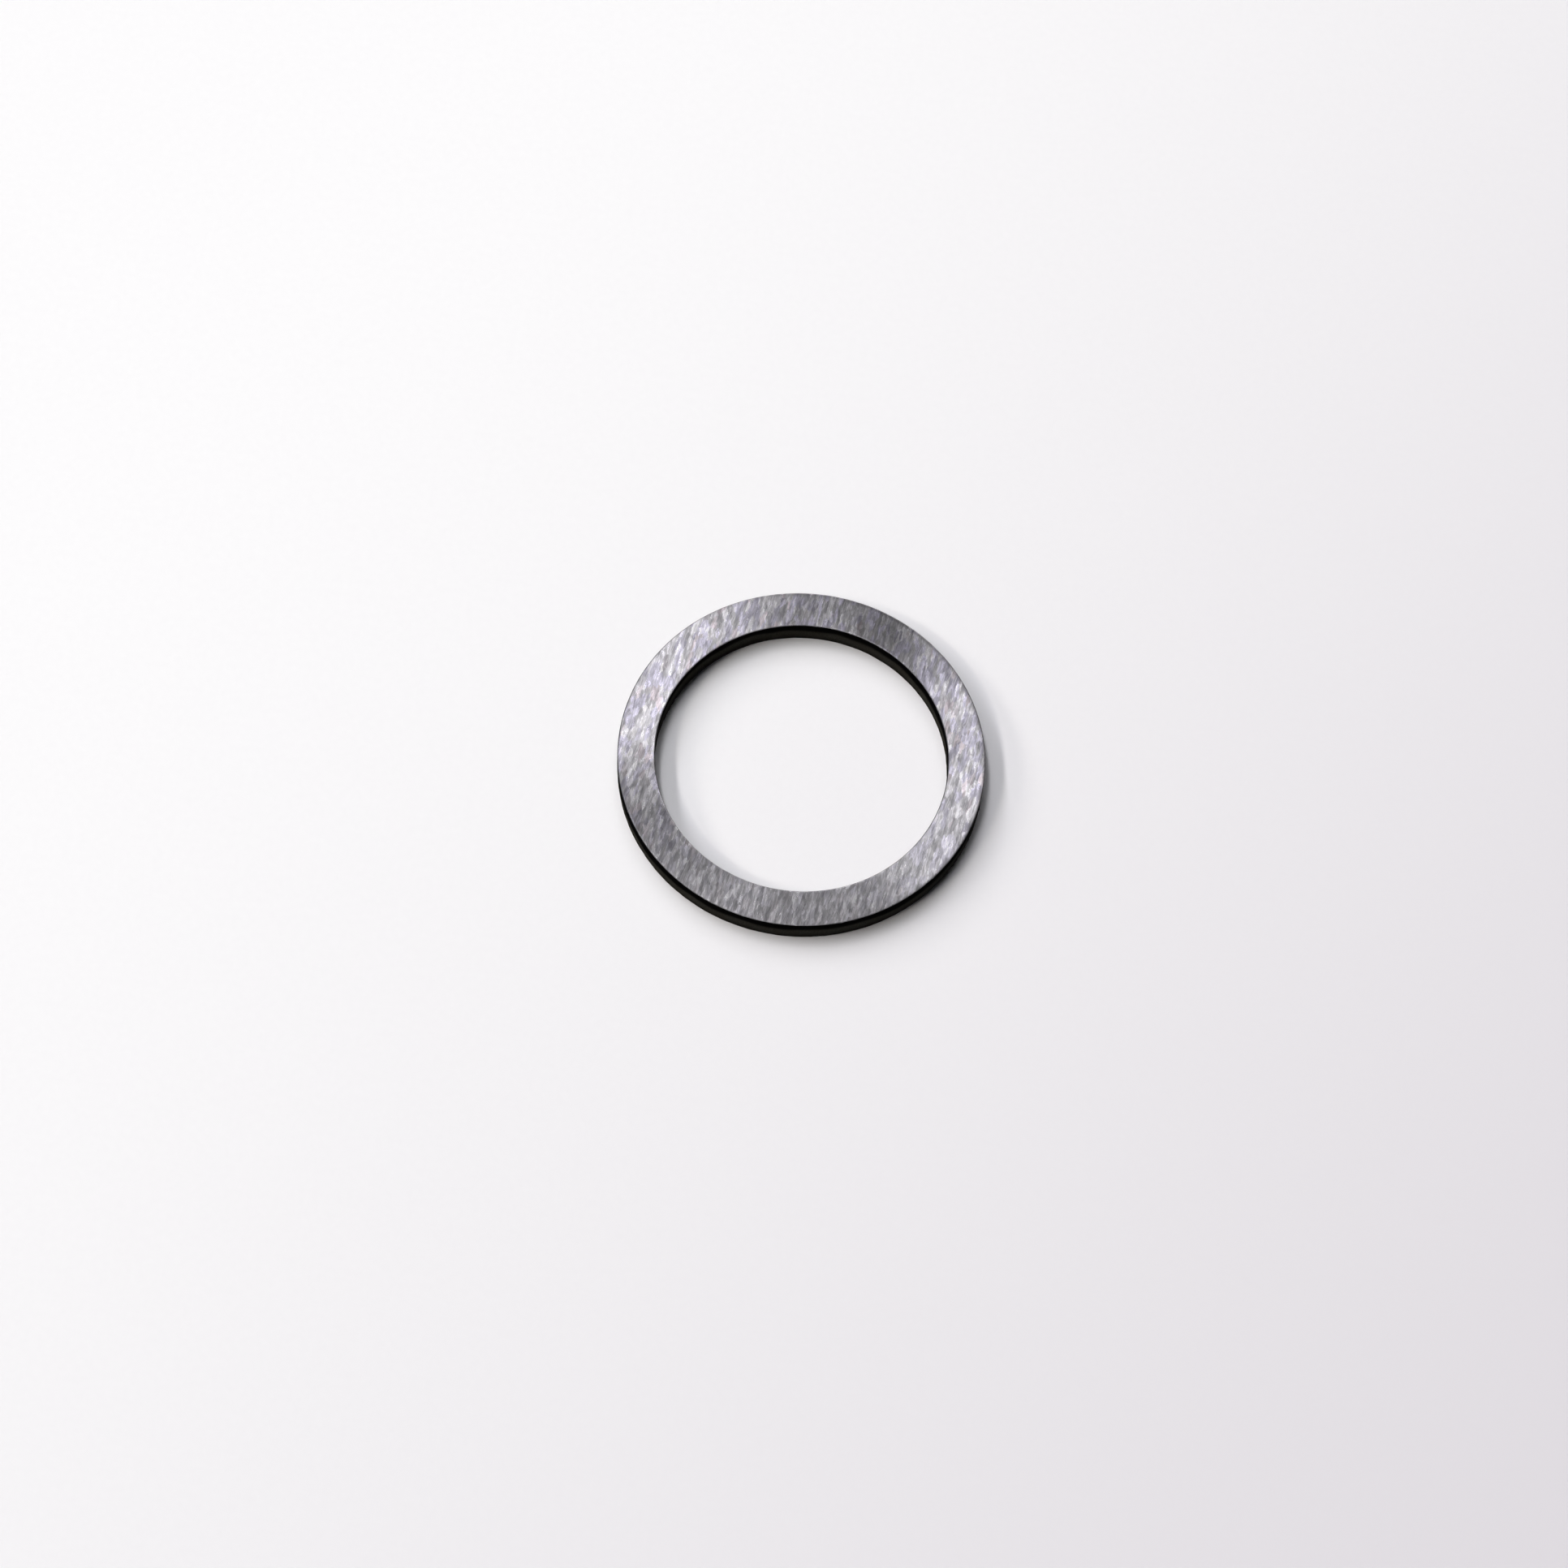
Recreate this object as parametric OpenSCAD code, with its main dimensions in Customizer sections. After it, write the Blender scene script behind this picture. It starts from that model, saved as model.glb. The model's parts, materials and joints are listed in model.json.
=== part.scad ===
// Shim washer: a flat steel ring that sits over a shaft and takes up the end
// play beside a bearing or a gear. It is one piece, ground to its thickness on
// both faces, with the sharp edges taken off its bore and its rim.
// The origin is the centre of the lower face, on the axis of the bore.

/* [Ring] */
// Diameter of the bore, which goes over the shaft
bore_d = 25.5; // [6:0.05:60]
// Width of the flat band, from the bore's wall to the rim
band_w = 3.25; // [1.5:0.05:12]
// Thickness, from one ground face to the other
thickness = 2.5; // [0.5:0.05:6]

/* [Edges] */
// Radius on the two edges of the bore
bore_edge_r = 0.1; // [0.02:0.01:0.2]
// Radius on the two edges of the rim
rim_edge_r = 0.1; // [0.02:0.01:0.2]

/* [Hidden] */

outer_d = bore_d + 2 * band_w;
bore_r = bore_d / 2;
rim_r = outer_d / 2;
// How far outside the metal a cut starts
cut_over = 0.05;
$fn = 256;

// What a radius takes off a square corner at [0, 0] whose metal lies towards +X and +Y
module edge_waste(radius) {
    difference() {
        translate([-cut_over, -cut_over]) square(radius + cut_over);
        translate([radius, radius]) circle(radius);
    }
}

// Half of the ring's section: the flat band, with all four of its edges rounded
module band_section() {
    difference() {
        translate([bore_r, 0]) square([band_w, thickness]);
        for (upper = [0, 1])
            translate([0, upper * thickness]) mirror([0, upper]) {
                translate([bore_r, 0]) edge_waste(bore_edge_r);
                translate([rim_r, 0]) mirror([1, 0]) edge_waste(rim_edge_r);
            }
    }
}

// The ring, turned from its section about the axis of the bore
module shim_washer() {
    color([0.56, 0.55, 0.57]) rotate_extrude() band_section();
}

shim_washer();
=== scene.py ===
"""Shim washer: a ground, hardened steel ring lying on a pale table under soft studio light.

The ring is one closed surface, worked out from the frame's own sizes: a rectangular section
with rounded corners, carried round the axis of the bore. Its two faces are ground steel with
a one-way lay. Its bore and its rim keep the black scale of the hardening, with the smooth
band of the shearing at the top and the rougher broken band under it.
"""

import json
import math

import bpy
import numpy as np
from mathutils import Matrix, Vector


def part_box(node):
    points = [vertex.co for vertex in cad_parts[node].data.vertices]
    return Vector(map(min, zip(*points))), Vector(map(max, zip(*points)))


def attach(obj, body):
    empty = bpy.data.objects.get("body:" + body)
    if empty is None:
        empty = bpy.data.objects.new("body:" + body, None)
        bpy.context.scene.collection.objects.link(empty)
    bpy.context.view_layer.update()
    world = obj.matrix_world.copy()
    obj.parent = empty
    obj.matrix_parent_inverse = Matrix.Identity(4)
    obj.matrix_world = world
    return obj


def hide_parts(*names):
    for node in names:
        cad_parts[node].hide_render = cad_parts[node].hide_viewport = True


bl_info = {
    "name": "Shim Washer",
    "version": (1, 0, 0),
    "blender": (4, 5, 0),
    "location": "View3D > Sidebar > Shim Washer",
    "description": "Makes a ground steel shim washer and the table, lights and camera to show it",
    "category": "Add Mesh",
}

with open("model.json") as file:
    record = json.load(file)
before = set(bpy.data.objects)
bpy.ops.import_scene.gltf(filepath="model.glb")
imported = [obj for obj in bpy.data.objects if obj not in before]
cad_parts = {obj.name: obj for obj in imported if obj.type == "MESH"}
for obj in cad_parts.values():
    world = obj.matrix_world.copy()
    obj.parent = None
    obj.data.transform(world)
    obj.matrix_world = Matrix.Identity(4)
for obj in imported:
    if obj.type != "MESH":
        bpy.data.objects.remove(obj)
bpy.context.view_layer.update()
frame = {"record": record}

MM = 0.001
NODE = "shim_washer"
BODY = "root"
SEED = 7

RING_LOW, RING_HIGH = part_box(NODE)
RIM_RADIUS = min(RING_HIGH.x - RING_LOW.x, RING_HIGH.y - RING_LOW.y) / 2
THICKNESS = RING_HIGH.z - RING_LOW.z
MOUNTS = {mount["name"]: mount for mount in frame["record"]["mounts"]}
BORE_RADIUS = MOUNTS["bore"]["dims"]["r_mm"] * MM
WALL_LENGTH = MOUNTS["bore"]["dims"]["length_mm"] * MM
EDGE_RADIUS = (THICKNESS - WALL_LENGTH) / 2

# A face of the ring takes its finish from one of its two material slots.
GROUND, SCALE = 0, 1

# A strip of faces is ground where the upright parts of its two normals add up to more.
FACE_BOUND = 1.2

# The flat map cuts each band of the ring into this many strips.
MAP_PARTS = 3

# The direction on the table that leads straight away from the window. Along it the paper's
# colour is painted from lit to shaded.
FROM_WINDOW = (0.859, -0.511, 0.0)

# How much the large and the small flats and the broad, middle and fine lines add to the tone
# of the ground face. They add up to one.
TONE_WEIGHTS = (0.29, 0.24, 0.24, 0.08, 0.15)

# The tints of the cool and of the warm wash lamps, and of the sheen strips.
COOL_LIGHT = (0.978, 0.972, 1.018)
WARM_LIGHT = (1.03, 0.972, 0.91)
STRIP_LIGHT = (0.982, 0.972, 1.0)


# ---------------------------------------------------------------------------
# Settings
# ---------------------------------------------------------------------------


def length_prop(name, description, default):
    """A length in metres."""
    return bpy.props.FloatProperty(
        name=name, description=description, default=default, unit="LENGTH", precision=6
    )


def angle_prop(name, description, degrees):
    """An angle, given in degrees and kept in radians."""
    return bpy.props.FloatProperty(
        name=name, description=description, default=math.radians(degrees), subtype="ANGLE"
    )


def color_prop(name, description, default):
    """A colour of three linear numbers."""
    return bpy.props.FloatVectorProperty(
        name=name, description=description, default=default, size=3, min=0, subtype="COLOR"
    )


def pair_prop(name, description, default):
    """Two plain numbers."""
    return bpy.props.FloatVectorProperty(
        name=name, description=description, default=default, size=2
    )


def number_prop(name, description, default):
    """A plain number that is never below zero."""
    return bpy.props.FloatProperty(name=name, description=description, default=default, min=0)


def count_prop(name, description, default, least):
    """A whole number."""
    return bpy.props.IntProperty(name=name, description=description, default=default, min=least)


class ShimRingSettings(bpy.types.PropertyGroup):
    """Sizes and colours of the ring. Its outer sizes come from the frame."""

    steps_round: count_prop("Steps Round", "Steps round the ring, a multiple of three", 1026, 96)
    wall_rows: count_prop("Wall Rows", "Rows down the bore's wall and down the rim", 22, 4)
    edge_rows: count_prop("Edge Rows", "Rows round each of the four rounded edges", 5, 2)
    sheared_share: number_prop(
        "Sheared Share", "Share of the wall, from the top, that the punch left smooth", 0.41
    )
    sheared_lead: number_prop(
        "Sheared Lead", "How much more of the rim than of the bore the punch left smooth", 0.12
    )
    broken_depth: length_prop(
        "Broken Depth", "How far the broken band lies behind the smooth band", 0.012 * MM
    )
    broken_grain: length_prop("Broken Grain", "Height of the broken band's grain", 0.010 * MM)
    steel_color: color_prop("Steel", "Colour of the ground steel", (0.56, 0.55, 0.57))
    scale_color: color_prop(
        "Scale", "Colour of the black scale on the smooth band", (0.0020, 0.0019, 0.0019)
    )
    broken_color: color_prop(
        "Broken Band", "Colour of the scale on the broken band", (0.028, 0.0275, 0.0235)
    )
    steel_roughness: number_prop("Steel Roughness", "Roughness of the ground faces", 0.29)
    sheen_stretch: number_prop(
        "Sheen Stretch", "How far the sheen is drawn out round the ring", 0.97
    )
    tone_low: number_prop("Darkest Tone", "Share of the steel's colour in its darkest marks", 0.46)
    tone_high: number_prop(
        "Lightest Tone", "Share of the steel's colour in its lightest marks", 2.05
    )
    tint_share: number_prop("Tint Share", "How far the tinted flats take their tint", 0.58)
    tint_fade: number_prop("Tint Fade", "Share of the tint that is left on the -Y side", 0.2)
    cool_tint: color_prop("Cool Tint", "Tint of the cool flats", (0.93, 0.90, 1.12))
    warm_tint: color_prop("Warm Tint", "Tint of the warm flats", (1.04, 1.03, 0.94))
    pink_tint: color_prop("Pink Tint", "Tint of the pink flats", (1.12, 0.94, 0.98))
    swell_height: length_prop("Swell Height", "Height of the low swells along the lay", 0.0004 * MM)
    cloud_color: color_prop("Cloud", "Colour of the faint clouds on the face", (0.42, 0.41, 0.42))
    scratch_color: color_prop("Scratch", "Colour of the stray scratches", (0.85, 0.84, 0.86))
    stain_color: color_prop(
        "Stain", "Colour of the stains on the broken band", (0.022, 0.017, 0.011)
    )
    # The edge colour darkens the face where it turns down, and is also the colour of the rim's
    # painted shade.
    edge_and_rim_shade_color: color_prop("Edge", "Colour where the ground face turns down", (0.12, 0.115, 0.12))
    # The rim's painted shade: a thin band inside the outer edge, darkest on the side at its angle.
    painted_rim_width: length_prop("Rim Width", "Width of the darker rim inside the outer edge", 0.45 * MM)
    painted_rim_angle: angle_prop("Rim Angle", "Side of the ring where the rim is darkest", 25)
    painted_rim_share: number_prop("Rim Share", "How dark the rim is on that side", 0.75)
    lay_angle: angle_prop("Lay Angle", "Direction of the grinding lines, from the X axis", 81)


class ShimStudioSettings(bpy.types.PropertyGroup):
    """Sizes and colours of the stage. The lamps' settings are added from the table of lamps."""

    table_radius: length_prop("Table Radius", "Radius of the table top", 0.6)
    # Painted light and shade: the paper's lit and far colours, and where it changes between them.
    table_light: color_prop(
        "Table, Lit Side", "Colour of the table on the side of the window", (0.937, 0.944, 0.933)
    )
    table_painted_shade: color_prop(
        "Table, Far Side", "Colour of the table away from the window", (0.682, 0.663, 0.687)
    )
    table_tooth: color_prop("Table, Tooth", "Colour of the paper's fine tooth", (0.70, 0.69, 0.71))
    table_far: color_prop(
        "Table, Edge", "Colour of the table far from the ring", (0.77, 0.765, 0.775)
    )
    painted_light_end: length_prop(
        "Lit End", "How far past the ring from the window the lit side's colour is full", -0.073
    )
    painted_shade_start: length_prop(
        "Shade Start", "How far past the ring from the window the far side's colour is full", 0.138
    )
    far_start: length_prop("Far Start", "How far from the ring the table starts to change", 0.10)
    far_full: length_prop("Far Full", "How far from the ring the edge's colour is full", 0.40)
    lamp_height: length_prop("Lamp Height", "Height of the highest lamp above the table", 9.0)
    lamp_gap: length_prop("Lamp Gap", "How far each lamp hangs below the one before it", 0.15)
    strip_softness: number_prop("Strip Softness", "Width of a sheen strip's soft edge", 0.06)
    room_color: color_prop("Room", "Brightness of the room overhead", (0.078, 0.076, 0.078))
    horizon_color: color_prop(
        "Horizon", "Brightness of the room level with the table", (0.86, 0.85, 0.865)
    )
    camera_lens: number_prop("Lens", "Focal length of the camera in millimetres", 104.57)
    camera_distance: length_prop(
        "Camera Distance", "Distance from the ring to the camera", 395.2 * MM
    )
    camera_elevation: angle_prop("Camera Angle", "Angle of the camera above the table", 64.79)
    camera_roll: angle_prop("Camera Roll", "Turn of the camera about its line of sight", 5.27)
    camera_right: length_prop("Ring Right", "How far right of the middle the ring lies", 1.536 * MM)
    camera_up: length_prop("Ring Up", "How far above the middle the ring lies", 2.388 * MM)


# Each lamp's place beside the ring, and its width and length, are for a height of one metre.
# The wash lamps light the matt surfaces, and the sheen strips are what the metal mirrors.
# The columns are the place, the size, the turn in degrees, the level and the tint.
LAMPS = {
    "wash_near": ((-0.237, 0.160), (0.100, 0.658), 12.1, 16.3, COOL_LIGHT),
    "wash_middle": ((-0.943, 0.900), (0.165, 2.396), 8.9, 12.0, COOL_LIGHT),
    "wash_key": ((-0.730, -0.500), (0.153, 0.259), 20.7, 30.9, WARM_LIGHT),
    "wash_far": ((-1.80, 0.414), (0.468, 1.898), 31.4, 7.8, WARM_LIGHT),
    "wash_back": ((-0.135, 0.694), (0.810, 1.017), -6.7, 2.24, COOL_LIGHT),
    "sheen_window": ((-0.757, -0.168), (0.542, 1.111), 0.5, 2.20, STRIP_LIGHT),
    "sheen_near": ((-0.064, -0.318), (0.148, 1.112), 16.9, 3.08, STRIP_LIGHT),
    "sheen_back": ((0.035, 1.004), (0.461, 0.732), 24.8, 2.84, STRIP_LIGHT),
    "sheen_corner": ((-0.298, 0.557), (0.120, 0.451), 40.0, 2.62, STRIP_LIGHT),
    "sheen_side": ((0.378, -0.111), (0.120, 0.932), 21.2, 2.04, STRIP_LIGHT),
    "sheen_front": ((-0.030, -0.740), (0.287, 0.577), -16.1, 3.55, STRIP_LIGHT),
}


def lamp_props(name, place, size, turn, level, tint):
    """The five settings of one lamp, by the names that the studio gives them."""
    title = name.replace("_", " ").title()
    return {
        f"{name}_place": pair_prop(f"{title} Place", "Where it hangs, for 1 m of height", place),
        f"{name}_size": pair_prop(f"{title} Size", "Its width and length, for 1 m of height", size),
        f"{name}_turn": angle_prop(f"{title} Turn", "Its turn about the upright axis", turn),
        f"{name}_level": number_prop(f"{title} Level", "Its brightness, where 1 is white", level),
        f"{name}_tint": color_prop(f"{title} Tint", "Its colour", tint),
    }


for lamp_name, lamp_defaults in LAMPS.items():
    ShimStudioSettings.__annotations__.update(lamp_props(lamp_name, *lamp_defaults))


# ---------------------------------------------------------------------------
# The ring's surface
# ---------------------------------------------------------------------------


def smooth_noise(rng, rows, columns, row_length, column_length):
    """Noise on a grid that closes on itself both ways.

    White noise is smoothed by a Gaussian whose reach is row_length rows and column_length
    columns, in the frequency domain, and then scaled to a spread of one.
    """
    white = rng.normal(size=(rows, columns))
    row_wave = np.fft.fftfreq(rows)[:, None] * row_length
    column_wave = np.fft.fftfreq(columns)[None, :] * column_length
    gain = np.exp(-2 * math.pi**2 * (row_wave**2 + column_wave**2))
    field = np.fft.ifft2(np.fft.fft2(white) * gain).real
    return field / field.std()


def smoothstep(value):
    """The cubic 3 t^2 - 2 t^3 of a value held between 0 and 1."""
    t = np.clip(value, 0, 1)
    return t * t * (3 - 2 * t)


def section(edge_rows, wall_rows):
    """The ring's section as rows of radius, height and outward normal, and each row's band.

    The section is a rectangle whose corners are quarter circles of the edge radius. It is
    walked from the bore over the upper face, round the rim's upper edge, down the rim, back
    along the lower face and up the bore's wall. The bands are 0 the upper face, 1 the rim
    with its two edges, 2 the lower face and 3 the bore with its two edges.
    """
    inner, outer = BORE_RADIUS + EDGE_RADIUS, RIM_RADIUS - EDGE_RADIUS
    low, high = RING_LOW.z + EDGE_RADIUS, RING_HIGH.z - EDGE_RADIUS
    lip = EDGE_RADIUS / 3
    third, two_thirds = (inner * 2 + outer) / 3, (inner + outer * 2) / 3
    along = np.array([inner, inner + lip, third, two_thirds, outer - lip])
    turn = np.linspace(0, math.pi / 2, edge_rows, endpoint=False)
    down = np.linspace(high, low, wall_rows, endpoint=False)

    def face(radius, height, up):
        flat = np.full(len(radius), float(up))
        return np.stack([radius, np.full(len(radius), height), 0 * flat, flat])

    def corner(radius, height, start):
        angle = start - turn
        normal = np.stack([np.cos(angle), np.sin(angle)])
        centre = np.array([[radius], [height]])
        return np.concatenate([centre + EDGE_RADIUS * normal, normal])

    def wall(radius, height, out):
        flat = np.full(len(height), float(out))
        return np.stack([np.full(len(height), radius), height, flat, 0 * flat])

    parts = [
        face(along, RING_HIGH.z, 1),
        corner(outer, high, math.pi / 2),
        wall(RIM_RADIUS, down, 1),
        corner(outer, low, 0),
        face(inner + outer - along, RING_LOW.z, -1),
        corner(inner, low, -math.pi / 2),
        wall(BORE_RADIUS, low + high - down, -1),
        corner(inner, high, -math.pi),
    ]
    bands = [0, 1, 1, 1, 2, 3, 3, 3]
    rows = np.concatenate(parts, axis=1)
    band = np.concatenate([np.full(part.shape[1], b) for part, b in zip(parts, bands, strict=True)])
    return rows, band


def wall_relief(settings, rows, rng):
    """How far each point of the grid sinks into the ring, and how dull the metal is there.

    The height share h runs from 0 at the top of a wall to 1 at its foot. The smooth band ends
    at h = b, which is the sheared share, plus half the lead on the rim or less half of it in
    the bore, plus a short and a long wave round the ring. Below it the metal sinks by the
    broken depth, a slight taper to the foot and a grain, all held at or above zero. Above it
    there are only shallow upright draw marks. The skin turns dull over a longer way than the
    metal sinks, and loses half of that again towards the foot: a painted shade, so that the
    dull colour gives way to the dark scale where the contact shadow falls.
    """
    short_reach, short_height = 9, 0.035
    long_reach, long_height = 60, 0.05
    broken_width, dull_width, dull_lag = 0.07, 0.26, 0.02
    # The painted shade at the foot: how far past the border it starts, how wide it fades in, and
    # how much dullness it takes away.
    foot_shade_lag, foot_shade_width, foot_shade_loss = 0.30, 0.25, 0.5
    taper_share, draw_reach, draw_depth = 0.6, 1.4, 0.0012

    count, steps = rows.shape[1], settings.steps_round
    high, low = RING_HIGH.z - EDGE_RADIUS, RING_LOW.z + EDGE_RADIUS
    share = np.clip((high - rows[1]) / (high - low), 0, 1)[:, None]
    on_rim = (rows[2] > 0)[:, None]

    def round_wave(reach):
        """A wave round the rim and another round the bore, each with a spread of one."""
        rim, bore = (smooth_noise(rng, 1, steps, 1, reach) for _ in range(2))
        return np.where(on_rim, rim, bore)

    border = round_wave(short_reach) * short_height + round_wave(long_reach) * long_height
    border = border + settings.sheared_share + settings.sheared_lead * np.where(on_rim, 0.5, -0.5)
    broken = smoothstep((share - border) / broken_width + 0.5)
    grain = smooth_noise(rng, count, steps, 1.0, 1.3) + smooth_noise(rng, count, steps, 2.5, 4)
    draw = round_wave(draw_reach)
    taper = taper_share * settings.broken_depth * share
    sunk = broken * (settings.broken_depth + taper + 0.5 * settings.broken_grain * grain)
    sunk = sunk + (1 - broken) * draw_depth * MM * (2 + draw)
    dull = smoothstep((share - dull_lag - border) / dull_width + 0.5)
    # Painted shade: the dull colour gives way to the dark scale towards the foot, where the contact
    # shadow falls.
    dull = dull * (1 - foot_shade_loss * smoothstep((share - foot_shade_lag - border) / foot_shade_width))
    return np.clip(sunk, 0, None), dull


def ring_surface(settings):
    """The ring as a grid of points: the section's rows down, the steps round the ring across.

    A point of radius r and height z on the section goes to (r cos a, r sin a, z) at angle a,
    with r moved into the metal by the wall's relief times the radial part of the normal.
    Returns the points, the band of each row, whether the strip of faces under each row looks
    more up or down than sideways, how near each point is to the crest of a rounded edge, how
    dull the metal is there with the painted shade at the foot of each wall, and the length
    along the section. The dullness fades on the rounded edges as the normal turns away from
    the radius.
    """
    rng = np.random.default_rng(SEED)
    rows, band = section(settings.edge_rows, settings.wall_rows)
    sunk, dull = wall_relief(settings, rows, rng)
    radius = rows[0][:, None] - rows[2][:, None] * sunk
    angle = np.arange(settings.steps_round) / settings.steps_round * math.tau
    height = np.broadcast_to(rows[1][:, None], radius.shape)
    points = np.stack([radius * np.cos(angle), radius * np.sin(angle), height], axis=-1)
    crest = np.broadcast_to((2 * np.abs(rows[2] * rows[3]))[:, None], radius.shape)
    dull = dull * np.abs(rows[2])[:, None]
    loop = np.concatenate([rows[:2], rows[:2, :1]], axis=1)
    length = np.concatenate([[0], np.cumsum(np.hypot(*np.diff(loop, axis=1)))])
    facing = np.abs(rows[3]) + np.abs(np.roll(rows[3], -1))
    return points, band, facing > FACE_BOUND, crest, dull, length


def grid_faces(count, steps):
    """The four corners of each face of a grid that closes on itself both ways."""
    row, step = np.meshgrid(np.arange(count), np.arange(steps), indexing="ij")
    below, beside = (row + 1) % count, (step + 1) % steps
    upper, lower = row * steps, below * steps
    corners = [upper + step, lower + step, lower + beside, upper + beside]
    return np.stack(corners, axis=-1).reshape(-1, 4)


def unrolled_map(settings, band, length):
    """A flat map of the ring: each band is cut in parts and laid out as straight strips.

    Across a strip the place is the step round the ring times the band's mean step length, and
    up a strip it is the length along the section. The strips are stacked with a gap, and the
    whole is scaled to the unit square.
    """
    gap = 0.16 * MM
    count, steps = len(band), settings.steps_round
    part_steps = steps // MAP_PARTS
    mean = (BORE_RADIUS + RIM_RADIUS) / 2
    mean_radius = np.array([mean, RIM_RADIUS, mean, BORE_RADIUS])
    first = np.array([np.argmax(band == b) for b in range(4)])
    last = np.array([count - 1 - np.argmax(band[::-1] == b) for b in range(4)])
    start, tall = length[first], length[last + 1] - length[first]
    base = gap + np.concatenate([[0], np.cumsum(tall + gap)[:-1]])
    block = np.sum(tall + gap)
    step = np.broadcast_to(np.arange(steps), (count, steps))
    part = step // part_steps
    across_step = (mean_radius * math.tau / steps)[band][:, None]
    left = gap + (step - part * part_steps) * across_step
    foot = (base[band] - start[band])[:, None] + part * block
    low, high = length[:-1][:, None] + foot, length[1:][:, None] + foot
    right = left + across_step
    corners = [(left, low), (left, high), (right, high), (right, low)]
    flat = np.stack([np.stack(corner, axis=-1) for corner in corners], axis=-2)
    side = max(part_steps * mean_radius.max() * math.tau / steps + 2 * gap, MAP_PARTS * block + gap)
    return (flat / side).reshape(-1, 2)


def surface_mesh(name, points, faces):
    """A mesh with these points and four-cornered faces, shaded smooth."""
    mesh = bpy.data.meshes.new(name)
    mesh.vertices.add(len(points))
    mesh.vertices.foreach_set("co", points.astype(np.float32).ravel())
    mesh.loops.add(faces.size)
    mesh.loops.foreach_set("vertex_index", faces.astype(np.int32).ravel())
    mesh.polygons.add(len(faces))
    mesh.polygons.foreach_set("loop_start", np.arange(0, faces.size, 4, dtype=np.int32))
    mesh.polygons.foreach_set("use_smooth", np.ones(len(faces), dtype=bool))
    mesh.update(calc_edges=True)
    mesh.validate()
    return mesh


def point_value(mesh, name, values):
    """Keeps one number for each point of the mesh, for a material to read by name."""
    layer = mesh.attributes.new(name, "FLOAT", "POINT")
    layer.data.foreach_set("value", values.astype(np.float32).ravel())


# ---------------------------------------------------------------------------
# Node helpers and shared groups
# ---------------------------------------------------------------------------


def node(tree, kind, inputs=None, **values):
    """Adds a node. inputs maps a socket's name or number to a value or to an output to link."""
    made = tree.nodes.new(kind)
    for name, value in values.items():
        setattr(made, name, value)
    for key, value in (inputs or {}).items():
        if isinstance(value, bpy.types.NodeSocket):
            tree.links.new(value, made.inputs[key])
        else:
            made.inputs[key].default_value = value
    return made


def math_node(tree, operation, first, second=0.0, third=0.0, clamp=False):
    """The output of a Math node."""
    inputs = {0: first, 1: second, 2: third}
    return node(tree, "ShaderNodeMath", inputs, operation=operation, use_clamp=clamp).outputs[0]


def vector_node(tree, operation, first, second=(0.0, 0.0, 0.0)):
    """The vector output of a Vector Math node."""
    inputs = {0: first, 1: second}
    return node(tree, "ShaderNodeVectorMath", inputs, operation=operation).outputs["Vector"]


def vector_value(tree, operation, first, second=(0.0, 0.0, 0.0)):
    """The number that a Vector Math node puts out."""
    inputs = {0: first, 1: second}
    return node(tree, "ShaderNodeVectorMath", inputs, operation=operation).outputs["Value"]


def scaled_vector(tree, vector, scale):
    """A vector times a number."""
    inputs = {0: vector, "Scale": scale}
    return node(tree, "ShaderNodeVectorMath", inputs, operation="SCALE").outputs["Vector"]


def point_mask(tree, name):
    """The numbers that point_value keeps on the mesh under this name."""
    return node(tree, "ShaderNodeAttribute", attribute_name=name).outputs["Fac"]


def turned_back(tree, vector, angle):
    """A vector turned by the negative of an angle about Z."""
    inputs = {"Vector": vector, "Angle": math_node(tree, "MULTIPLY", angle, -1.0)}
    return node(tree, "ShaderNodeVectorRotate", inputs, rotation_type="Z_AXIS").outputs[0]


def spread(tree, value, low, high, to_low=0.0, to_high=1.0, smooth=False):
    """Stretches the part of a value between low and high over to_low and to_high."""
    kind = "SMOOTHSTEP" if smooth else "LINEAR"
    inputs = {
        "Value": value,
        "From Min": low,
        "From Max": high,
        "To Min": to_low,
        "To Max": to_high,
    }
    return node(tree, "ShaderNodeMapRange", inputs, interpolation_type=kind).outputs[0]


def blend(tree, factor, first, second, mode="MIX", clamp=False):
    """The colour of a Mix node, held between 0 and 1 if clamp is true."""
    mix = node(tree, "ShaderNodeMix", data_type="RGBA", blend_type=mode, clamp_result=clamp)
    for socket, value in ((mix.inputs[0], factor), (mix.inputs[6], first), (mix.inputs[7], second)):
        if isinstance(value, bpy.types.NodeSocket):
            tree.links.new(value, socket)
        else:
            socket.default_value = value
    return mix.outputs[2]


def new_group(name, inputs, outputs):
    """An empty node group with named sockets, and its input and output nodes."""
    tree = bpy.data.node_groups.new(name, "ShaderNodeTree")
    for socket, kind, default in inputs:
        made = tree.interface.new_socket(socket, in_out="INPUT", socket_type=kind)
        if default is not None:
            made.default_value = default
    for socket, kind in outputs:
        tree.interface.new_socket(socket, in_out="OUTPUT", socket_type=kind)
    return tree, tree.nodes.new("NodeGroupInput"), tree.nodes.new("NodeGroupOutput")


def use_group(tree, group, inputs):
    """Places a node group in a tree with its own values."""
    return node(tree, "ShaderNodeGroup", inputs, node_tree=group)


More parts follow.
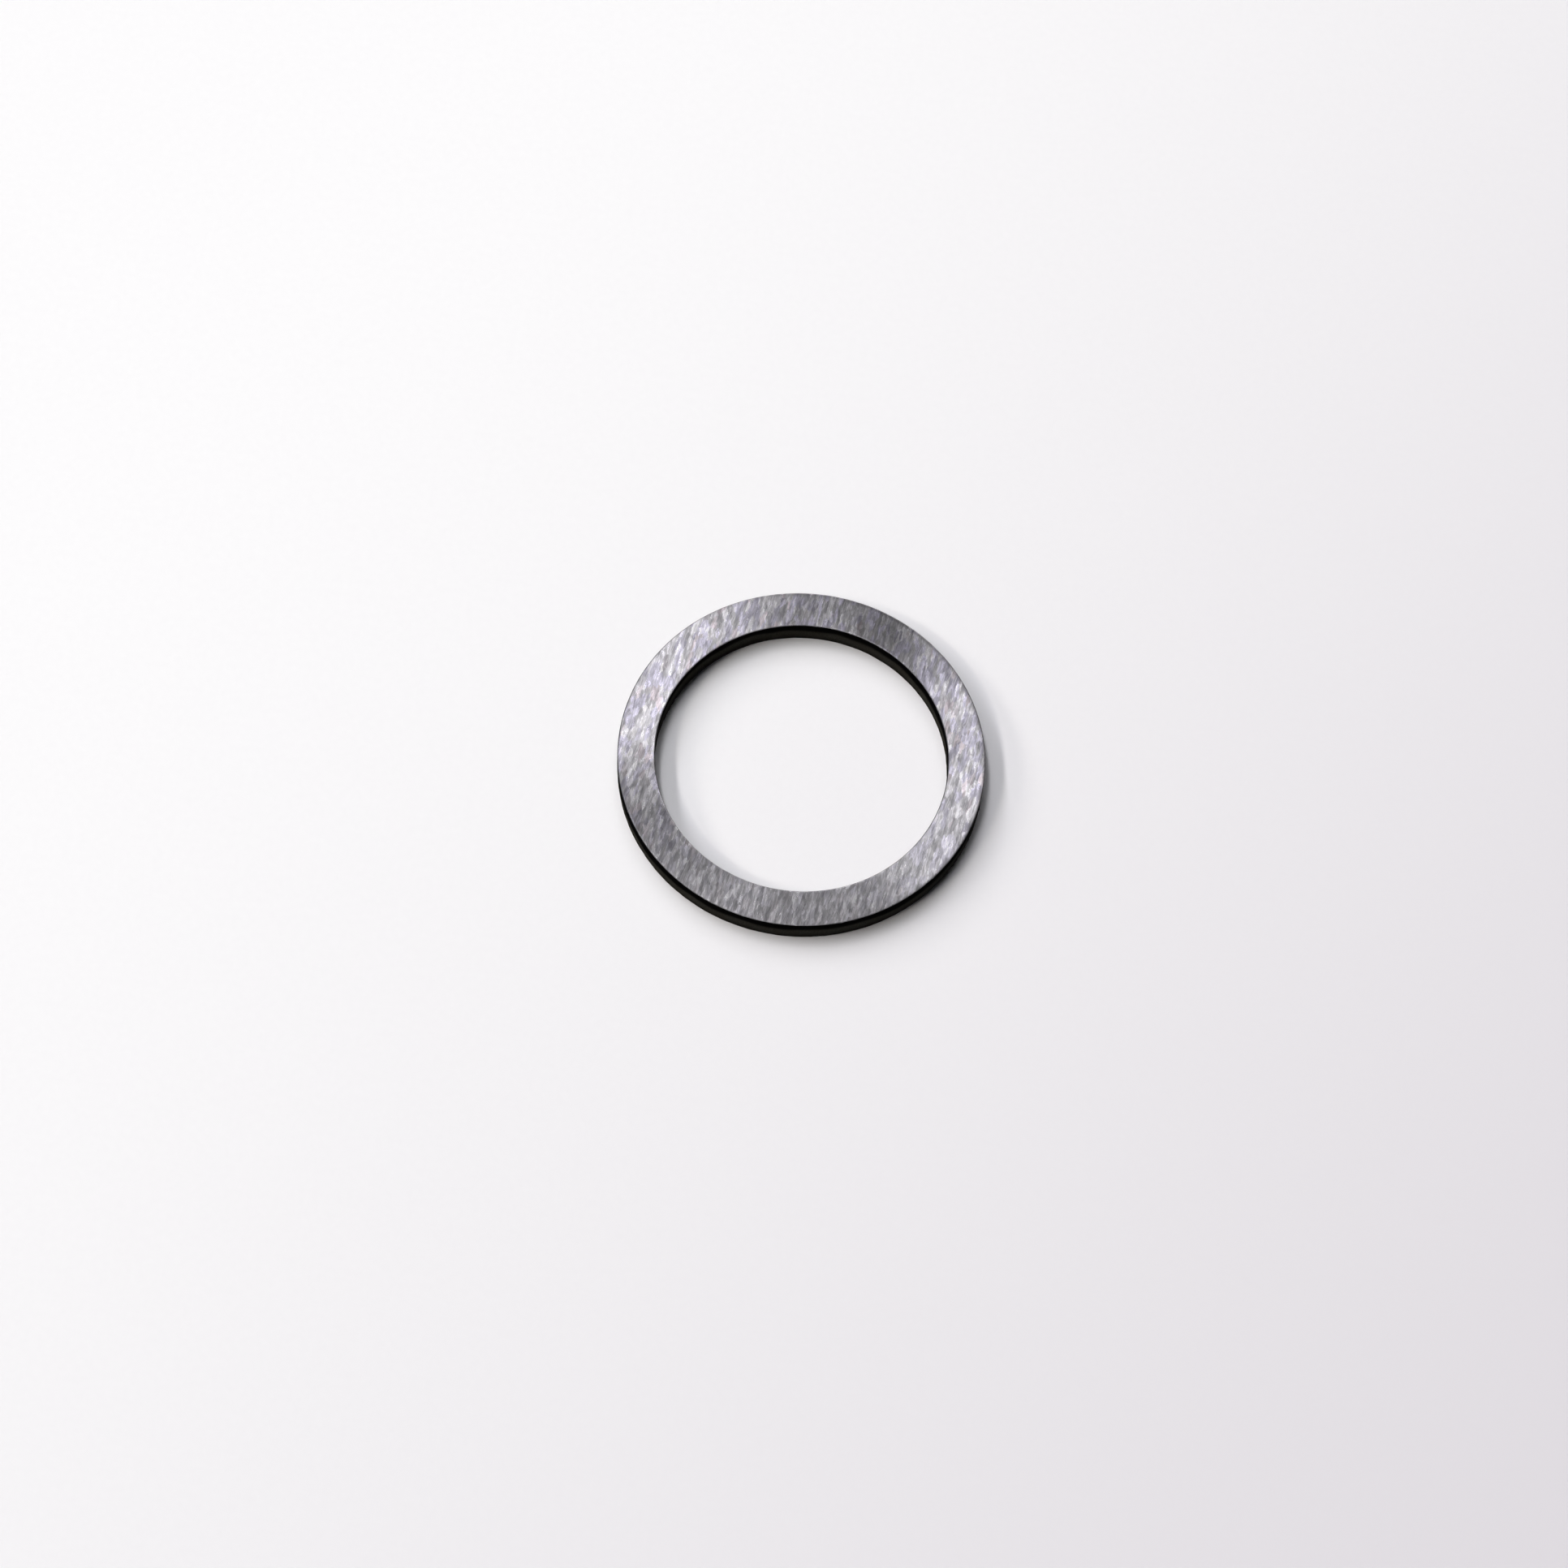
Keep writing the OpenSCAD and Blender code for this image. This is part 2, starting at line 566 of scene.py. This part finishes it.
def drawn_lines_group():
    """Long thin marks that all run one way: noise stretched along the marks.

    The place is turned by the angle about Z, divided by the size of a mark along each axis,
    and read from noise, whose middle part is then stretched by the contrast.
    """
    tree, given, out = new_group(
        "Drawn Lines",
        [
            ("Vector", "NodeSocketVector", None),
            ("Angle", "NodeSocketFloat", 0.0),
            ("Mark Size", "NodeSocketVector", (MM, MM, MM)),
            ("Waver", "NodeSocketFloat", 0.0),
            ("Contrast", "NodeSocketFloat", 2.0),
        ],
        [("Lines", "NodeSocketFloat")],
    )
    turned = turned_back(tree, given.outputs["Vector"], given.outputs["Angle"])
    sized = vector_node(tree, "DIVIDE", turned, given.outputs["Mark Size"])
    noise_inputs = {
        "Vector": sized,
        "Scale": 1.0,
        "Detail": 2.0,
        "Roughness": 0.55,
        "Distortion": given.outputs["Waver"],
    }
    noise = node(tree, "ShaderNodeTexNoise", noise_inputs).outputs[0]
    centred = math_node(tree, "SUBTRACT", noise, 0.5)
    lines = math_node(tree, "MULTIPLY_ADD", centred, given.outputs["Contrast"], 0.5, clamp=True)
    tree.links.new(lines, out.inputs["Lines"])
    return tree


def ground_facets_group():
    """The small flats that a coarse wheel leaves, each a little longer along the lay.

    The place is turned by the angle about Z, divided by the facet size, and moved by a little
    noise so that borders waver. Each cell of the result is one flat, with a random shade and
    a random tint.
    """
    tree, given, out = new_group(
        "Ground Facets",
        [
            ("Vector", "NodeSocketVector", None),
            ("Angle", "NodeSocketFloat", 0.0),
            ("Facet Size", "NodeSocketVector", (MM, MM, MM)),
            ("Waver", "NodeSocketFloat", 0.2),
        ],
        [("Shade", "NodeSocketFloat"), ("Tint", "NodeSocketFloat")],
    )
    turned = turned_back(tree, given.outputs["Vector"], given.outputs["Angle"])
    sized = vector_node(tree, "DIVIDE", turned, given.outputs["Facet Size"])
    noise_inputs = {"Vector": sized, "Scale": 1.7, "Detail": 3.0, "Roughness": 0.7}
    noise = node(tree, "ShaderNodeTexNoise", noise_inputs).outputs["Color"]
    centred = vector_node(tree, "SUBTRACT", noise, (0.5, 0.5, 0.5))
    moved = vector_node(tree, "ADD", sized, scaled_vector(tree, centred, given.outputs["Waver"]))
    cells = node(tree, "ShaderNodeTexVoronoi", {"Vector": moved, "Scale": 1.0})
    chance = node(tree, "ShaderNodeSeparateXYZ", {0: cells.outputs["Color"]}).outputs
    tree.links.new(chance[0], out.inputs["Shade"])
    tree.links.new(chance[1], out.inputs["Tint"])
    return tree


def blotches_group():
    """Soft cloudy patches, for the slow change of tone over a surface."""
    tree, given, out = new_group(
        "Blotches",
        [
            ("Vector", "NodeSocketVector", None),
            ("Patch Size", "NodeSocketFloat", 3 * MM),
            ("Contrast", "NodeSocketFloat", 2.0),
        ],
        [("Patches", "NodeSocketFloat")],
    )
    scale = math_node(tree, "DIVIDE", 1.0, given.outputs["Patch Size"])
    noise_inputs = {
        "Vector": given.outputs["Vector"],
        "Scale": scale,
        "Detail": 3.0,
        "Roughness": 0.6,
    }
    noise = node(tree, "ShaderNodeTexNoise", noise_inputs).outputs[0]
    centred = math_node(tree, "SUBTRACT", noise, 0.5)
    patches = math_node(tree, "MULTIPLY_ADD", centred, given.outputs["Contrast"], 0.5, clamp=True)
    tree.links.new(patches, out.inputs["Patches"])
    return tree


def rubbed_edge_group():
    """Where handling has rubbed the crest of an edge bright, in broken stretches.

    The crest times its reach is added to noise. The metal starts to show at the first level
    and is bare at the second.
    """
    first_level, bare_level = 0.92, 1.06
    tree, given, out = new_group(
        "Rubbed Edge",
        [
            ("Vector", "NodeSocketVector", None),
            ("Crest", "NodeSocketFloat", 0.0),
            ("Reach", "NodeSocketFloat", 0.5),
            ("Stretch Size", "NodeSocketFloat", 0.6 * MM),
        ],
        [("Rubbed", "NodeSocketFloat")],
    )
    scale = math_node(tree, "DIVIDE", 1.0, given.outputs["Stretch Size"])
    noise_inputs = {
        "Vector": given.outputs["Vector"],
        "Scale": scale,
        "Detail": 4.0,
        "Roughness": 0.65,
    }
    noise = node(tree, "ShaderNodeTexNoise", noise_inputs).outputs[0]
    reached = math_node(tree, "MULTIPLY", given.outputs["Crest"], given.outputs["Reach"])
    level = math_node(tree, "ADD", reached, noise)
    rubbed = spread(tree, level, first_level, bare_level, smooth=True)
    tree.links.new(rubbed, out.inputs["Rubbed"])
    return tree


# ---------------------------------------------------------------------------
# Materials
# ---------------------------------------------------------------------------


def color(values, factor=1.0):
    """A colour with full alpha, made brighter or darker by a factor."""
    return tuple(v * factor for v in values) + (1.0,)


def new_material(name):
    """A material with only an output and a Principled shader, which are returned with it."""
    material = bpy.data.materials.new(name)
    material.use_nodes = True
    tree = material.node_tree
    tree.nodes.clear()
    shader = tree.nodes.new("ShaderNodeBsdfPrincipled")
    out = tree.nodes.new("ShaderNodeOutputMaterial")
    tree.links.new(shader.outputs[0], out.inputs["Surface"])
    return material, tree, shader


def ground_steel(settings, lines, patches, facets):
    """Steel fresh from the grinder: small flats and fine one-way lines over a rounder sheen.

    The tone t of a place is the weighted sum of its marks, stretched to run from 0 to 1, and
    the steel's colour is multiplied by low (high / low)^t. The tinted flats lose most of their
    tint towards the -Y side. The colour is then held between 0 and 1. The face is darker on
    its rounded edges, and a painted shade darkens a thin rim inside the outer edge, most of
    all at the rim's angle.
    """
    darkest, lightest = 0.18, 0.82
    cloud_share, scratch_share, edge_share, edge_full = 0.20, 0.5, 0.8, 0.7
    # How the rim's painted shade runs: its least share, and where along the rim's angle it starts
    # and is full.
    rim_least, rim_back, rim_front = 0.1, -0.3 * RIM_RADIUS, 0.9 * RIM_RADIUS
    middle_polish, small_polish = 0.012, 0.008
    middle_height, fine_height, scratch_depth = 0.0003, 0.0001, 0.0006

    material, tree, shader = new_material("ground_steel_face")
    place = node(tree, "ShaderNodeTexCoord").outputs["Object"]
    lay = settings.lay_angle

    def marks(long, wide, turn=0.0, waver=0.0, contrast=2.0):
        inputs = {
            "Vector": place,
            "Angle": lay + turn,
            "Mark Size": (long, wide, wide),
            "Waver": waver,
            "Contrast": contrast,
        }
        return use_group(tree, lines, inputs).outputs["Lines"]

    def flats(long, wide, turn=0.0):
        inputs = {
            "Vector": place,
            "Angle": lay + turn,
            "Facet Size": (long, wide, MM),
            "Waver": 0.9,
        }
        return use_group(tree, facets, inputs).outputs

    large = flats(1.10 * MM, 0.40 * MM)
    small = flats(0.62 * MM, 0.23 * MM, turn=0.05)
    broad = marks(1.15 * MM, 0.28 * MM, waver=0.3, contrast=3.2)
    middle = marks(1.5 * MM, 0.12 * MM, turn=0.03, waver=0.2, contrast=3.0)
    fine = marks(2.6 * MM, 0.042 * MM, turn=-0.02, contrast=2.6)
    stray = marks(3.0 * MM, 0.055 * MM, turn=-0.16, contrast=3.0)
    scratch = spread(tree, stray, 0.80, 1.0, smooth=True)
    cloud_inputs = {"Vector": place, "Patch Size": 4 * MM, "Contrast": 1.8}
    cloud = use_group(tree, patches, cloud_inputs).outputs[0]

    shades = (large["Shade"], small["Shade"], broad, middle, fine)
    tone = 0.0
    for shade, weight in zip(shades, TONE_WEIGHTS, strict=True):
        tone = math_node(tree, "MULTIPLY_ADD", shade, weight, tone)
    stretched = spread(tree, tone, darkest, lightest)
    ratio = math_node(tree, "POWER", settings.tone_high / settings.tone_low, stretched)
    share = math_node(tree, "MULTIPLY", ratio, settings.tone_low)
    steel = blend(tree, 1.0, color(settings.steel_color), share, mode="MULTIPLY")

    depth = node(tree, "ShaderNodeSeparateXYZ", {0: place}).outputs["Y"]
    tinted = spread(tree, depth, -0.9 * RIM_RADIUS, 0.0, settings.tint_fade, 1.0)
    tinted = math_node(tree, "MULTIPLY", tinted, settings.tint_share)
    cool = math_node(tree, "MULTIPLY", tinted, spread(tree, large["Tint"], 0.60, 0.70))
    warm = math_node(tree, "MULTIPLY", tinted, spread(tree, small["Tint"], 0.86, 0.90, 0.0, 0.6))
    pink = math_node(tree, "MULTIPLY", tinted, spread(tree, large["Tint"], 0.12, 0.08, 0.0, 0.8))
    steel = blend(tree, cool, steel, color(settings.cool_tint), mode="MULTIPLY")
    steel = blend(tree, warm, steel, color(settings.warm_tint), mode="MULTIPLY")
    steel = blend(tree, pink, steel, color(settings.pink_tint), mode="MULTIPLY", clamp=True)

    cloudy = spread(tree, cloud, 0.0, 1.0, 0.0, cloud_share)
    steel = blend(tree, cloudy, steel, color(settings.cloud_color))
    scratched = math_node(tree, "MULTIPLY", scratch, scratch_share)
    steel = blend(tree, scratched, steel, color(settings.scratch_color))
    turned_down = spread(tree, point_mask(tree, "edge_crest"), 0.0, edge_full, 0.0, edge_share)
    steel = blend(tree, turned_down, steel, color(settings.edge_and_rim_shade_color))

    # Painted shade: a thin rim inside the outer edge is darkened with the edge colour, most on the
    # side at the rim's angle.
    flat = vector_node(tree, "MULTIPLY", place, (1.0, 1.0, 0.0))
    radius = vector_value(tree, "LENGTH", flat)
    near_rim = spread(tree, radius, RIM_RADIUS - settings.painted_rim_width, RIM_RADIUS, smooth=True)
    rim_way = (math.cos(settings.painted_rim_angle), math.sin(settings.painted_rim_angle), 0.0)
    towards = vector_value(tree, "DOT_PRODUCT", place, rim_way)
    painted_rim_side = spread(tree, towards, rim_back, rim_front, rim_least, settings.painted_rim_share)
    painted_rim_shade = math_node(tree, "MULTIPLY", near_rim, painted_rim_side)
    steel = blend(tree, painted_rim_shade, steel, color(settings.edge_and_rim_shade_color))
    tree.links.new(steel, shader.inputs["Base Color"])

    rough = math_node(tree, "MULTIPLY_ADD", middle, -middle_polish, settings.steel_roughness)
    rough = math_node(tree, "MULTIPLY_ADD", small["Shade"], -small_polish, rough)
    tree.links.new(rough, shader.inputs["Roughness"])
    shader.inputs["Metallic"].default_value = 1.0
    shader.inputs["Anisotropic"].default_value = settings.sheen_stretch

    round_axis = vector_node(tree, "CROSS_PRODUCT", (0.0, 0.0, 1.0), place)
    sheen_way = node(
        tree,
        "ShaderNodeVectorTransform",
        {0: vector_node(tree, "NORMALIZE", round_axis)},
        vector_type="VECTOR",
        convert_from="OBJECT",
        convert_to="WORLD",
    ).outputs[0]
    tree.links.new(sheen_way, shader.inputs["Tangent"])

    height = math_node(tree, "MULTIPLY", broad, settings.swell_height / MM)
    height = math_node(tree, "MULTIPLY_ADD", middle, middle_height, height)
    height = math_node(tree, "MULTIPLY_ADD", fine, fine_height, height)
    height = math_node(tree, "MULTIPLY_ADD", scratch, -scratch_depth, height)
    bump_inputs = {"Height": height, "Strength": 1.0, "Distance": MM}
    bump = node(tree, "ShaderNodeBump", bump_inputs).outputs[0]
    tree.links.new(bump, shader.inputs["Normal"])
    return material


def black_scale(settings, lines, patches, rubbed):
    """The dark skin of the hardening on the walls: smooth where sheared, dull where broken.

    Each band's colour runs from its dark share to its light share along its own marks. The
    dull colour gives way to the black again near the foot, which is a painted shade. The crest
    of an edge is rubbed bright in stretches, down to the bare steel.
    """
    smooth_dark, smooth_light, dull_dark, dull_light, worn_light = 0.7, 1.5, 0.6, 1.5, 0.8
    stain_share, worn_roughness, mark_height = 0.4, 0.35, 0.006 * MM

    material, tree, shader = new_material("hardened_wall")
    place = node(tree, "ShaderNodeTexCoord").outputs["Object"]
    crest, broken = point_mask(tree, "edge_crest"), point_mask(tree, "broken_band")

    def marks(upright, wide, contrast):
        inputs = {"Vector": place, "Mark Size": (wide, wide, upright), "Contrast": contrast}
        return use_group(tree, lines, inputs).outputs["Lines"]

    def mixed(factor, first, second):
        return node(tree, "ShaderNodeMix", {0: factor, 2: first, 3: second}).outputs[0]

    draw = marks(2.5 * MM, 0.09 * MM, 2.4)
    grain = marks(0.10 * MM, 0.08 * MM, 2.6)
    cloud_inputs = {"Vector": place, "Patch Size": 2 * MM, "Contrast": 2.0}
    cloud = use_group(tree, patches, cloud_inputs).outputs[0]
    edge_inputs = {"Vector": place, "Crest": crest, "Reach": 0.42, "Stretch Size": 0.5 * MM}
    bright = use_group(tree, rubbed, edge_inputs).outputs["Rubbed"]

    black, grey = settings.scale_color, settings.broken_color
    smooth = blend(tree, draw, color(black, smooth_dark), color(black, smooth_light))
    dull = blend(tree, grain, color(grey, dull_dark), color(grey, dull_light))
    stained = spread(tree, cloud, 0.2, 0.9, 0.0, stain_share)
    dull = blend(tree, stained, dull, color(settings.stain_color))
    # The broken band's mask also carries the painted shade at each wall's foot, so the wall turns
    # darker there.
    skin = blend(tree, broken, smooth, dull)
    worn = blend(tree, bright, skin, color(settings.steel_color, worn_light))
    tree.links.new(worn, shader.inputs["Base Color"])
    tree.links.new(bright, shader.inputs["Metallic"])

    smooth_rough = spread(tree, draw, 0.0, 1.0, 0.34, 0.46)
    dull_rough = spread(tree, grain, 0.0, 1.0, 0.55, 0.75)
    rough = mixed(bright, mixed(broken, smooth_rough, dull_rough), worn_roughness)
    tree.links.new(rough, shader.inputs["Roughness"])
    shader.inputs["Specular IOR Level"].default_value = 0.0

    height = mixed(broken, draw, grain)
    bump_inputs = {"Height": height, "Strength": 1.0, "Distance": mark_height}
    bump = node(tree, "ShaderNodeBump", bump_inputs).outputs[0]
    tree.links.new(bump, shader.inputs["Normal"])
    return material


def table_paper(settings):
    """Pale matt paper with a faint tooth, painted lighter on the side of the window.

    The lit and the far colours are a painted light and shade for the fall of the window's light
    over the table. Far from the ring it fades to one tone, near that of the room at the level
    of the eye.
    """
    tooth_scale, tooth_share, tooth_bump, tooth_height = 1500.0, 0.05, 0.3, 0.02 * MM

    material, tree, shader = new_material("table_paper")
    place = node(tree, "ShaderNodeTexCoord").outputs["Object"]
    # Painted light and shade: the paper runs from its lit colour to its far colour away from the
    # window.
    across = vector_value(tree, "DOT_PRODUCT", place, FROM_WINDOW)
    shade = spread(tree, across, settings.painted_light_end, settings.painted_shade_start, smooth=True)
    base = blend(tree, shade, color(settings.table_light), color(settings.table_painted_shade))
    tooth_inputs = {"Vector": place, "Scale": tooth_scale, "Detail": 3.0}
    tooth = node(tree, "ShaderNodeTexNoise", tooth_inputs).outputs[0]
    toothed = spread(tree, tooth, 0.3, 0.7, 0.0, tooth_share)
    paper = blend(tree, toothed, base, color(settings.table_tooth))
    reach = vector_value(tree, "LENGTH", place)
    far = spread(tree, reach, settings.far_start, settings.far_full, smooth=True)
    paper = blend(tree, far, paper, color(settings.table_far))
    tree.links.new(paper, shader.inputs["Base Color"])
    shader.inputs["Roughness"].default_value = 0.9
    shader.inputs["Specular IOR Level"].default_value = 0.0
    bump_inputs = {"Height": tooth, "Strength": tooth_bump, "Distance": tooth_height}
    tree.links.new(node(tree, "ShaderNodeBump", bump_inputs).outputs[0], shader.inputs["Normal"])
    return material


# ---------------------------------------------------------------------------
# Stage
# ---------------------------------------------------------------------------


def table_mesh(radius):
    """The table top as a disc: rings whose radius grows as the square of the ring's number."""
    rings, steps = 24, 96
    reach = radius * (np.arange(1, rings + 1) / rings) ** 2
    angle = np.arange(steps) / steps * math.tau
    circle = np.stack([np.cos(angle), np.sin(angle)], axis=-1)
    flat = (reach[:, None, None] * circle).reshape(-1, 2)
    points = np.concatenate([flat, np.full((len(flat), 1), RING_LOW.z)], axis=1)
    ring, step = np.meshgrid(np.arange(rings - 1), np.arange(steps), indexing="ij")
    beside = (step + 1) % steps
    near, far = ring * steps, (ring + 1) * steps
    corners = [near + step, far + step, far + beside, near + beside]
    faces = np.stack(corners, axis=-1).reshape(-1, 4).tolist()
    mesh = bpy.data.meshes.new("table")
    mesh.from_pydata(points.tolist(), [], [list(range(steps)), *faces])
    mesh.update()
    return mesh


def add_object(name, data):
    """A new object in the scene."""
    made = bpy.data.objects.new(name, data)
    bpy.context.scene.collection.objects.link(made)
    return made


def lamp_values(settings, name):
    """The place, size, turn, level and tint of a lamp."""
    parts = ("place", "size", "turn", "level", "tint")
    return (getattr(settings, f"{name}_{part}") for part in parts)


def add_wash_lamp(name, settings):
    """A level strip lamp that shines straight down from its own height h on matt surfaces.

    It hangs at (x h, y h, h) and is w h wide and l h long, for its place (x, y) and its size
    (w, l). A lamp of level L and area A gives pi L A watts. Each lamp hangs a little below the
    one before it, so that none hides another.
    """
    place, size, turn, level, tint = lamp_values(settings, name)
    height = settings.lamp_height - settings.lamp_gap * list(LAMPS).index(name)
    lamp = bpy.data.lights.new(name, "AREA")
    lamp.shape = "RECTANGLE"
    lamp.size, lamp.size_y = size[0] * height, size[1] * height
    lamp.energy = level * math.pi * lamp.size * lamp.size_y
    lamp.color = tint
    made = add_object(name, lamp)
    made.location = (place[0] * height, place[1] * height, height)
    made.rotation_euler = (0, 0, turn)
    made.visible_camera = False
    made.visible_glossy = False


def ceiling_strip_group():
    """A soft-edged strip of light on a level ceiling one metre up.

    The place on the ceiling, less the strip's own place, is turned back by its turn. The mask
    is one where both of its parts lie inside half the strip's size, and fades over the soft
    width at the edges.
    """
    tree, given, out = new_group(
        "Ceiling Strip",
        [
            ("Vector", "NodeSocketVector", None),
            ("Place", "NodeSocketVector", (0.0, 0.0, 0.0)),
            ("Half Size", "NodeSocketVector", (0.5, 0.5, 0.0)),
            ("Turn", "NodeSocketFloat", 0.0),
            ("Soft Width", "NodeSocketFloat", 0.05),
        ],
        [("Mask", "NodeSocketFloat")],
    )
    beside = vector_node(tree, "SUBTRACT", given.outputs["Vector"], given.outputs["Place"])
    turned = turned_back(tree, beside, given.outputs["Turn"])
    reach = vector_node(tree, "ABSOLUTE", turned)
    inside = vector_node(tree, "SUBTRACT", given.outputs["Half Size"], reach)
    depths = node(tree, "ShaderNodeSeparateXYZ", {0: inside}).outputs
    masks = []
    for depth in depths[:2]:
        share = math_node(tree, "DIVIDE", depth, given.outputs["Soft Width"])
        masks.append(spread(tree, share, -0.5, 0.5, smooth=True))
    tree.links.new(math_node(tree, "MULTIPLY", *masks), out.inputs["Mask"])
    return tree


def add_room(settings):
    """The room: in sight and in reflections as pale as the table at its edge, and dim overhead.

    The pale part lies at and below the first rise of the line of sight, and the dim part above
    the second. Metal also mirrors the ceiling's strips: a direction (x, y, z) meets the ceiling
    at (x / z, y / z). The room gives no light of its own to matt surfaces, so shadows stay deep
    close to the ring.
    """
    pale_rise, dim_rise, least_rise = 0.10, 0.75, 0.05
    world = bpy.data.worlds.new("room")
    bpy.context.scene.world = world
    world.use_nodes = True
    world.cycles.sampling_method = "NONE"
    tree = world.node_tree
    tree.nodes.clear()
    way = node(tree, "ShaderNodeTexCoord").outputs["Generated"]
    up = node(tree, "ShaderNodeSeparateXYZ", {0: way}).outputs["Z"]
    share = spread(tree, up, pale_rise, dim_rise, smooth=True)
    seen = blend(tree, share, color(settings.horizon_color), color(settings.room_color))

    rise = math_node(tree, "MAXIMUM", up, least_rise)
    on_ceiling = scaled_vector(tree, way, math_node(tree, "DIVIDE", 1.0, rise))
    flat = vector_node(tree, "MULTIPLY", on_ceiling, (1.0, 1.0, 0.0))
    strip = ceiling_strip_group()
    lit = seen
    for name in LAMPS:
        if not name.startswith("sheen"):
            continue
        place, size, turn, level, tint = lamp_values(settings, name)
        inputs = {
            "Vector": flat,
            "Place": (*place, 0.0),
            "Half Size": (size[0] / 2, size[1] / 2, 0.0),
            "Turn": turn,
            "Soft Width": settings.strip_softness,
        }
        mask = use_group(tree, strip, inputs).outputs["Mask"]
        lit = vector_node(tree, "ADD", lit, scaled_vector(tree, color(tint, level)[:3], mask))

    ray = node(tree, "ShaderNodeLightPath").outputs
    tone = blend(tree, ray["Is Glossy Ray"], seen, lit)
    sight = math_node(tree, "ADD", ray["Is Camera Ray"], ray["Is Glossy Ray"])
    sight = math_node(tree, "ADD", sight, ray["Is Transmission Ray"], clamp=True)
    light = node(tree, "ShaderNodeBackground", {"Color": tone, "Strength": sight}).outputs[0]
    out = tree.nodes.new("ShaderNodeOutputWorld")
    tree.links.new(light, out.inputs["Surface"])


def add_camera(settings):
    """The camera looks along +Y and down by its elevation, rolled about its own line of sight.

    Its right and up are turned by the roll, and it stands back from the middle of the upper
    face by its distance, moved so that the ring lies at the offset in the picture.
    """
    tilt, roll = settings.camera_elevation, settings.camera_roll
    ahead = Vector((0, math.cos(tilt), -math.sin(tilt)))
    level = Vector((1, 0, 0))
    upright = Vector((0, math.sin(tilt), math.cos(tilt)))
    right = level * math.cos(roll) + upright * math.sin(roll)
    up = upright * math.cos(roll) - level * math.sin(roll)
    middle = Vector((0, 0, RING_HIGH.z))
    aside = right * settings.camera_right + up * settings.camera_up
    data = bpy.data.cameras.new("camera")
    data.lens = settings.camera_lens
    data.clip_start, data.clip_end = 0.01, 20.0
    made = add_object("camera", data)
    turn = Matrix((right, up, -ahead)).transposed().to_4x4()
    made.matrix_world = Matrix.Translation(middle - aside - ahead * settings.camera_distance) @ turn
    bpy.context.scene.camera = made


# ---------------------------------------------------------------------------
# Operators and panel
# ---------------------------------------------------------------------------


class OBJECT_OT_shim_ring(bpy.types.Operator):
    """Makes the ring with its ground faces and its black walls, in place of the CAD node"""

    bl_idname = "object.shim_ring"
    bl_label = "Shim Ring"

    def execute(self, context):
        settings = context.scene.shim_ring
        if settings.steps_round % MAP_PARTS:
            raise ValueError("the steps round the ring must be a multiple of three")
        points, band, ground, crest, dull, length = ring_surface(settings)
        count, steps = points.shape[:2]
        mesh = surface_mesh("ring", points.reshape(-1, 3), grid_faces(count, steps))
        finish = np.repeat(np.where(ground, GROUND, SCALE), steps)
        mesh.polygons.foreach_set("material_index", finish.astype(np.int32))
        point_value(mesh, "edge_crest", crest)
        # The broken band's mask, which also holds the painted shade at the foot of each wall.
        point_value(mesh, "broken_band", dull)
        flat = unrolled_map(settings, band, length)
        mesh.uv_layers.new(name="OFBake").data.foreach_set("uv", flat.astype(np.float32).ravel())
        lines, patches, rubbed = drawn_lines_group(), blotches_group(), rubbed_edge_group()
        facets = ground_facets_group()
        mesh.materials.append(ground_steel(settings, lines, patches, facets))
        mesh.materials.append(black_scale(settings, lines, patches, rubbed))
        ring = add_object("ring", mesh)
        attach(ring, BODY)
        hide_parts(NODE)
        return {"FINISHED"}


class SCENE_OT_shim_studio(bpy.types.Operator):
    """Makes the table, the lights, the room and the camera"""

    bl_idname = "scene.shim_studio"
    bl_label = "Table, Lights and Camera"

    def execute(self, context):
        settings = context.scene.shim_studio
        table = add_object("table", table_mesh(settings.table_radius))
        table.data.materials.append(table_paper(settings))
        for name in LAMPS:
            if name.startswith("wash"):
                add_wash_lamp(name, settings)
        add_room(settings)
        add_camera(settings)
        context.scene.view_settings.view_transform = "Standard"
        return {"FINISHED"}


class VIEW3D_PT_shim_washer(bpy.types.Panel):
    """The ring's and the stage's settings and the buttons that make them"""

    bl_label = "Shim Washer"
    bl_idname = "VIEW3D_PT_shim_washer"
    bl_space_type = "VIEW_3D"
    bl_region_type = "UI"
    bl_category = "Shim Washer"

    def draw(self, context):
        layout = self.layout
        layout.use_property_split = True
        groups = (
            (context.scene.shim_ring, OBJECT_OT_shim_ring.bl_idname),
            (context.scene.shim_studio, SCENE_OT_shim_studio.bl_idname),
        )
        for settings, button in groups:
            box = layout.box()
            for name in settings.bl_rna.properties.keys():
                if name not in {"rna_type", "name"}:
                    box.prop(settings, name)
            box.operator(button)


CLASSES = (
    ShimRingSettings,
    ShimStudioSettings,
    OBJECT_OT_shim_ring,
    SCENE_OT_shim_studio,
    VIEW3D_PT_shim_washer,
)


def register():
    """Registers the classes and puts their settings on the scene."""
    for cls in CLASSES:
        bpy.utils.register_class(cls)
    bpy.types.Scene.shim_ring = bpy.props.PointerProperty(type=ShimRingSettings)
    bpy.types.Scene.shim_studio = bpy.props.PointerProperty(type=ShimStudioSettings)


def unregister():
    """Takes the settings off the scene and the classes out of Blender."""
    del bpy.types.Scene.shim_studio
    del bpy.types.Scene.shim_ring
    for cls in reversed(CLASSES):
        bpy.utils.unregister_class(cls)


def main():
    """Makes the ring and its stage."""
    register()
    bpy.ops.object.shim_ring()
    bpy.ops.scene.shim_studio()


if __name__ == "__main__":
    main()
